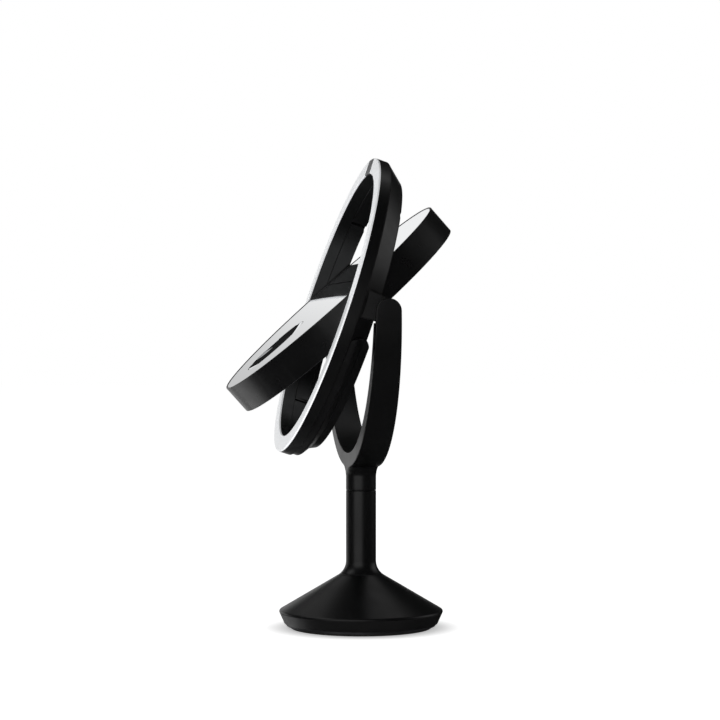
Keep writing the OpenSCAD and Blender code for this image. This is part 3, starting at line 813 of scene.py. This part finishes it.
def block_prism(name, low, high, grow=0.0):
    return prism(name, block_outline(grow), low, high, BLOCK_FRAME)


BLOCK_INNER = 86.4
BLOCK_OUTER = CHEEK_X - 0.6


def cover():
    piece = lathe("cover_rear", cover_section(), RING_FRAME, ROOM_END - 360, HOUSING_START)
    reach = SLOT_ANGLE + SLOT_HALF
    upper = lathe("upper_liner", liner_section(), RING_FRAME, reach, 180 - reach)
    combine(piece, upper, "UNION")
    for side in (1, -1):
        low, high = sorted((side * (LINER_R + 0.02), side * (BLOCK_OUTER + 0.02)))
        combine(piece, block_prism("block_cut", low, high, 0.02))
    place(finish_edges(piece, 0.15, 60), "head", "black_plastic", "black_plastic", "rear_cover")


def housing():
    section = rounded([(HOLE_R, -WALL_DEPTH, 0), (HOUSING_R, -WALL_DEPTH, 0.25),
                       (HOUSING_R, -HOUSING_WALL_DEPTH, 1.6),
                       (HOUSING_R - 5.7, -HOUSING_WALL_DEPTH - 3.9, 1.6),
                       (HOLE_R + 1.1, -HOUSING_DEPTH, 0.3),
                       (HOLE_R, -HOUSING_DEPTH, 0.3)], 0, 6)
    shell = 1.4
    room = [(HOLE_R - 1, -WALL_DEPTH + 1), (HOUSING_R - shell, -WALL_DEPTH + 1),
            (HOUSING_R - shell, -HOUSING_WALL_DEPTH + 0.7), (HOUSING_R - 6.7, -HOUSING_WALL_DEPTH - 3.1),
            (LINER_R, -HOUSING_DEPTH + 2.9), (LINER_R, -INNER_WALL_DEPTH), (HOLE_R - 1, -INNER_WALL_DEPTH)]
    ring = [(HOLE_R - 1, -WALL_DEPTH + 1), (RING_R + 0.85, -WALL_DEPTH + 1), (HOLE_R + 1, -RING_DEPTH),
            (HOLE_R - 1, -RING_DEPTH)]
    seat = [(HOLE_R - 1, -RING_DEPTH - 0.1), (LINER_R + 0.5, -RING_DEPTH - 0.1),
            (LINER_R + 0.5, -WALL_DEPTH + 1), (HOLE_R - 1, -WALL_DEPTH + 1)]
    lap = 0.4
    reach = SLOT_ANGLE + SLOT_HALF
    piece = lathe("housing", section, RING_FRAME, HOUSING_START, HOUSING_END)
    combine(piece, lathe("room", room, RING_FRAME, ROOM_START, ROOM_END))
    combine(piece, lathe("end_a", ring, RING_FRAME, HOUSING_START - 1, ROOM_START + lap))
    combine(piece, lathe("end_b", ring, RING_FRAME, ROOM_END - lap, HOUSING_END + 1))
    combine(piece, lathe("seat_a", seat, RING_FRAME, ROOM_START - lap, 180 + reach))
    combine(piece, lathe("seat_b", seat, RING_FRAME, 360 - reach, ROOM_END + lap))
    round_end(piece, HOUSING_START, 1)
    round_end(piece, HOUSING_END, -1)
    port = block("port_cut", (-4.51, -HOUSING_R - 6, -11.51), (4.51, -HOUSING_R + 6.2, -8.29), RING_FRAME)
    combine(piece, port)
    place(finish_edges(piece, 0.2, 60), "head", "black_plastic", "black_plastic", "lower_housing")


def round_end(piece, angle, toward):
    """Leaves an end of the housing round, seen along the ring's radius."""
    middle = -(WALL_DEPTH + HOUSING_DEPTH) / 2
    r = (HOUSING_DEPTH - WALL_DEPTH) / 2 + 0.3
    turn = math.degrees(math.asin(r / HOUSING_R))
    centre = angle + toward * turn
    low, high = sorted((centre, angle - toward * turn))
    rear = -HOUSING_DEPTH - 1
    section = [(HOLE_R - 2, rear), (RING_R + 1, rear), (RING_R + 1, 0), (HOLE_R - 2, 0)]
    wedge = lathe("wedge", section, RING_FRAME, low, high)
    axis = (RING_FRAME @ turned(centre, "Z") @ moved(0, 0, middle)
            @ turned(90, "Y"))
    combine(wedge, rod("wedge_core", r, HOLE_R - 3, RING_R + 2, axis))
    combine(piece, wedge)


def liners():
    """The side liners, one mirrored from the other, with their rear corners rounded."""
    reach = SLOT_ANGLE - SLOT_HALF
    corner = math.degrees(LINER_CORNER / HOLE_R)
    piece = lathe("liner_right", liner_section(), RING_FRAME, -reach, reach)
    section = [(HOLE_R - 1, -RING_DEPTH - 1), (RING_R, -RING_DEPTH - 1), (RING_R, -RING_DEPTH + LINER_CORNER),
               (HOLE_R - 1, -RING_DEPTH + LINER_CORNER)]
    for side in (1, -1):
        centre = side * (reach - corner)
        low, high = sorted((centre, centre + side * 2 * corner))
        wedge = lathe("wedge", section, RING_FRAME, low, high)
        axis = (RING_FRAME @ turned(centre, "Z")
                @ moved(0, 0, -RING_DEPTH + LINER_CORNER) @ turned(90, "Y"))
        combine(wedge, rod("wedge_core", LINER_CORNER, HOLE_R - 3, RING_R + 2, axis))
        combine(piece, wedge)
    cut_axle_holes(piece)
    finish_edges(piece, 0.12, 60)
    other = mirrored(piece, "liner_left")
    place(piece, "head", "black_plastic", "black_plastic", "right_liner")
    place(other, "head", "black_plastic", "black_plastic", "left_liner")


def pivot_blocks():
    """The blocks between the ring and the arms, one mirrored from the other."""
    piece = block_prism("block_right", BLOCK_INNER, BLOCK_OUTER)
    bevel_edges(piece, 0.6)
    axis = along_x(PIVOT_FRAME)
    combine(piece, rod("bore", 4.2, BLOCK_INNER - 1, BLOCK_OUTER + 1, axis))
    cut_axle_holes(piece)
    finish_edges(piece)
    other = mirrored(piece, "block_left")
    place(piece, "head", "black_trim", "black_trim", "right_pivot_block")
    place(other, "head", "black_trim", "black_trim", "left_pivot_block")


# ---- Mirror disc ----

HALF_T = DISC_T / 2
GLASS_R = DISC_R - 1.1
GLASS_T = 2.0
RECESS = 0.3
BOWL_CENTRE = HALF_T - RECESS + math.sqrt(BOWL_R ** 2 - GLASS_R ** 2)


def rim():
    lip_r = DISC_R - 1
    inner_r = DISC_R - 3.5
    seat_front = 6.7
    seat_back = HALF_T - RECESS - GLASS_T - 0.1
    outline = rounded([(lip_r, HALF_T, 0.3), (lip_r, seat_front, 0), (inner_r, seat_front, 0),
                       (inner_r, -seat_back, 0), (lip_r, -seat_back, 0), (lip_r, -HALF_T, 0.3),
                       (DISC_R, -HALF_T, 0.7), (DISC_R, HALF_T, 0.7)], 0, 6)
    piece = lathe("disc_rim", outline, DISC_FRAME)
    axis = along_x(DISC_FRAME)
    combine(piece, rod("axle_hole", 2.0, -AXLE_REACH, AXLE_REACH, axis))
    place(finish_edges(piece), "mirror", "black_plastic", "black_disc", "mirror_rim")


def front_glass():
    """The almost flat mirror with a hole for the small one, laid out round the hole's centre."""
    hole_r = SPOT_R + 0.2
    bevel = 0.25
    bm = bmesh.new()

    def height(x, y, r, drop):
        return BOWL_CENTRE - math.sqrt(r * r - x * x - y * y) - drop

    def spot(angle, distance):
        return distance * cos(angle), distance * sin(angle) - SPOT_OFFSET

    def outer_distance(angle, r):
        across = SPOT_OFFSET * sin(angle)
        return across + math.sqrt(across * across + r * r - SPOT_OFFSET ** 2)

    loops = []
    rows = 30
    back_rows = 4
    for i in range(SPIN_STEPS):
        a = 360 * i / SPIN_STEPS
        edge = outer_distance(a, GLASS_R)
        first = hole_r + bevel
        last = outer_distance(a, GLASS_R - bevel)
        loop = []

        def add(distance, r, drop=0.0):
            x, y = spot(a, distance)
            loop.append(bm.verts.new((x, y, height(x, y, r, drop))))

        add(hole_r, BOWL_R + GLASS_T)
        add(hole_r, BOWL_R, bevel)
        for k in range(rows + 1):
            add(first + (last - first) * k / rows, BOWL_R)
        add(edge, BOWL_R, bevel)
        add(edge, BOWL_R + GLASS_T)
        for k in range(1, back_rows):
            add(edge + (hole_r - edge) * k / back_rows, BOWL_R + GLASS_T)
        loops.append(loop)
    for i, here in enumerate(loops):
        there = loops[(i + 1) % len(loops)]
        for k in range(len(here)):
            n = (k + 1) % len(here)
            bm.faces.new((here[k], there[k], there[n], here[n]))
    piece = new_piece("glass_front", bm, DISC_FRAME)
    finish_edges(piece)
    exact_normals(piece, DISC_FRAME @ Vector((0, 0, BOWL_CENTRE)), BOWL_R)
    place(piece, "mirror", "mirror_glass", "mirror_glass", "front_mirror")


def exact_normals(piece, centre, r):
    """Points the normals of a reflecting bowl exactly at its centre of curvature."""
    on_bowl = 2e-6
    mesh = piece.data
    centre = centre * MM
    normals = [corner.vector.copy() for corner in mesh.corner_normals]
    for loop in mesh.loops:
        toward = centre - mesh.vertices[loop.vertex_index].co
        inward = toward.normalized()
        if abs(toward.length - r * MM) < on_bowl and normals[loop.index].dot(inward) > 0.9:
            normals[loop.index] = inward
    mesh.normals_split_custom_set(normals)


def spot_frame():
    lean = math.degrees(math.asin(SPOT_OFFSET / BOWL_R))
    return (DISC_FRAME @ moved(0, 0, BOWL_CENTRE) @ turned(-lean, "X")
            @ moved(0, 0, -BOWL_R))


def spot_glass_piece():
    r = SPOT_BOWL_R
    bevel = 0.3
    centre_z = math.sqrt(r * r - SPOT_R ** 2)
    reach = math.degrees(math.asin((SPOT_R - bevel) / r))
    steps = 24
    bowl = [(r * sin(reach * i / steps), centre_z - r * cos(reach * i / steps)) for i in range(steps + 1)]
    outline = bowl + [(SPOT_R, -bevel), (SPOT_R, -SPOT_T), (0, -SPOT_T)]
    piece = lathe("glass_spot", outline, spot_frame())
    finish_edges(piece)
    exact_normals(piece, spot_frame() @ Vector((0, 0, centre_z)), r)
    place(piece, "mirror", "mirror_glass", "spot_glass", "spot_mirror")


def back_glass():
    low = -HALF_T + RECESS
    high = low + GLASS_T
    outline = rounded([(0, low, 0), (GLASS_R, low, 0.25), (GLASS_R, high, 0.1), (0, high, 0)], 0)
    piece = lathe("glass_back", outline, DISC_FRAME)
    place(finish_edges(piece), "mirror", "mirror_glass", "mirror_glass", "back_mirror")


# ---- CAD nodes that stay, with better materials ----

KEPT = {
    "coated_steel": ["base_plate"],
    "cast_iron": ["base_weight"],
    "carrier_plastic": ["mirror_core", "swivel_washer"],
    "brushed_steel": ["base_screws", "stem_nut", "swivel_spigot", "swivel_clip", "pivot_screws",
                      "block_screws", "charge_port", "mirror_axles"],
    "chrome": ["inner_tube"],
    "nylon": ["guide_bush", "slide_bush", "friction_washers", "pivot_bushes", "axle_bushes", "axle_washers"],
    "circuit_board": ["sensor_board", "control_board"],
    "white_board": ["led_board"],
    "led_package": ["led_chips"],
    "battery_wrap": ["battery_cells"],
}


def dress_kept_nodes():
    for material, names in KEPT.items():
        for name in names:
            dress(NODES[name], material)


# ---- Studio ----

def rise_node(nodes, start, end, low, high):
    """A smooth rise from low to high between two values."""
    rise = nodes.new("ShaderNodeMapRange")
    rise.interpolation_type = "SMOOTHSTEP"
    rise.inputs["From Min"].default_value = start
    rise.inputs["From Max"].default_value = end
    rise.inputs["To Min"].default_value = low
    rise.inputs["To Max"].default_value = high
    return rise


def level_corners(x0, x1, y0, y1, z):
    """Corners of a level panel, in metres."""
    return [(x0, y0, z), (x1, y0, z), (x1, y1, z), (x0, y1, z)]


def panel(name, corners, material):
    """A flat stage panel through four corners, in metres."""
    mesh = bpy.data.meshes.new(name)
    mesh.from_pydata(corners, [], [(0, 1, 2, 3)])
    mesh.materials.append(material)
    piece = bpy.data.objects.new(name, mesh)
    bpy.context.scene.collection.objects.link(piece)
    return piece


def floor_paper():
    """Pale matte paper that glows. The glow drops round the base and makes most of its contact shadow."""
    material = bpy.data.materials.new("floor_paper")
    material.use_nodes = True
    nodes = material.node_tree.nodes
    links = material.node_tree.links
    surface = nodes["Principled BSDF"]
    surface.inputs["Base Color"].default_value = (0.86, 0.86, 0.86, 1)
    surface.inputs["Roughness"].default_value = 0.9
    surface.inputs["Specular IOR Level"].default_value = 0.0
    surface.inputs["Emission Color"].default_value = (1, 1, 1, 1)
    distance = nodes.new("ShaderNodeVectorMath")
    distance.operation = "LENGTH"
    rise = rise_node(nodes, 0.04, 0.066, 0.42, 0.99)
    links.new(nodes.new("ShaderNodeTexCoord").outputs["Object"], distance.inputs[0])
    links.new(distance.outputs["Value"], rise.inputs["Value"])
    links.new(rise.outputs["Result"], surface.inputs["Emission Strength"])
    material.cycles.emission_sampling = "NONE"
    return material


def glow_panel(name, corners, low, high, from_z=0.42, to_z=0.66):
    """A glowing stage panel that only reflections see. Its glow rises between two heights."""
    material = bpy.data.materials.new(name)
    material.use_nodes = True
    nodes = material.node_tree.nodes
    links = material.node_tree.links
    nodes.remove(nodes["Principled BSDF"])
    glow = nodes.new("ShaderNodeEmission")
    split = nodes.new("ShaderNodeSeparateXYZ")
    rise = rise_node(nodes, from_z, to_z, low, high)
    links.new(nodes.new("ShaderNodeTexCoord").outputs["Object"], split.inputs["Vector"])
    links.new(split.outputs["Z"], rise.inputs["Value"])
    links.new(rise.outputs["Result"], glow.inputs["Strength"])
    links.new(glow.outputs["Emission"], nodes["Material Output"].inputs["Surface"])
    material.cycles.emission_sampling = "NONE"
    piece = panel(name, corners, material)
    piece.visible_camera = False
    piece.visible_diffuse = False
    piece.visible_shadow = False


def softbox(name, azimuth, elevation, distance, size, radiance, target=(0, 0, 0.15)):
    """A soft area light around the object. Azimuth 0 is in front, and 90 on the side of +X."""
    light = bpy.data.lights.new(name, "AREA")
    light.shape = "RECTANGLE"
    light.size = size[0]
    light.size_y = size[1]
    light.energy = radiance * math.pi * size[0] * size[1]
    lamp = bpy.data.objects.new(name, light)
    away = Vector((sin(azimuth) * cos(elevation), -cos(azimuth) * cos(elevation), sin(elevation)))
    lamp.location = Vector(target) + away * distance
    lamp.rotation_mode = "QUATERNION"
    lamp.rotation_quaternion = away.to_track_quat("Z", "Y")
    lamp.visible_camera = False
    bpy.context.scene.collection.objects.link(lamp)
    return lamp


def studio():
    far = 12.0
    sunk = -0.75
    back_x = -2.6
    left_y = -3.4
    right_y = 0.9
    top = 0.78
    floor = panel("floor", level_corners(-far, far, -far, far, 0), floor_paper())
    floor.visible_glossy = False
    upright = [(back_x, left_y, sunk), (back_x, right_y, sunk), (back_x, right_y, top), (back_x, left_y, top)]
    glow_panel("backdrop", upright, 0.6, 0.93)
    glow_panel("floor_left", level_corners(-2.0, -0.6, -2.0, -0.25, sunk), 0.8, 0.8)
    world = bpy.data.worlds.new("studio")
    bpy.context.scene.world = world
    world.use_nodes = True
    nodes = world.node_tree.nodes
    background = nodes["Background"]
    background.inputs["Color"].default_value = (1, 1, 1, 1)
    seen = nodes.new("ShaderNodeLightPath").outputs["Is Camera Ray"]
    level = nodes.new("ShaderNodeMapRange")
    level.inputs["To Min"].default_value = 0.015
    level.inputs["To Max"].default_value = 1.0
    world.node_tree.links.new(seen, level.inputs["Value"])
    world.node_tree.links.new(level.outputs["Result"], background.inputs["Strength"])
    softbox("camera_left", 58, 6, 2.2, (2.8, 1.8), 0.8)
    softbox("front_key", 350, 52, 2.4, (1.6, 1.2), 1.0)
    softbox("top_left", 280, 44, 2.4, (0.8, 1.3), 0.4)
    softbox("right_fill", 188, 18, 2.4, (1.6, 1.4), 0.6)
    softbox("top_right", 232, 60, 2.2, (0.5, 0.9), 0.55)


def camera():
    """The photograph's view: a long lens, level, from the right side."""
    azimuth = 80.35
    distance = 1.272
    height = 0.1653
    aim = azimuth + 0.028
    data = bpy.data.cameras.new("camera")
    data.lens = 102.8
    data.sensor_width = 36
    view = bpy.data.objects.new("camera", data)
    view.location = (distance * sin(azimuth), -distance * cos(azimuth), height)
    view.rotation_euler = (math.radians(90), 0, math.radians(aim))
    bpy.context.scene.collection.objects.link(view)
    bpy.context.scene.camera = view


foot()
trim()
cone()
stem()
yoke()
front_frame()
diffuser_ring()
window()
cover()
housing()
liners()
pivot_blocks()
rim()
front_glass()
spot_glass_piece()
back_glass()
dress_kept_nodes()
studio()
camera()
bpy.context.scene.view_settings.view_transform = "Standard"
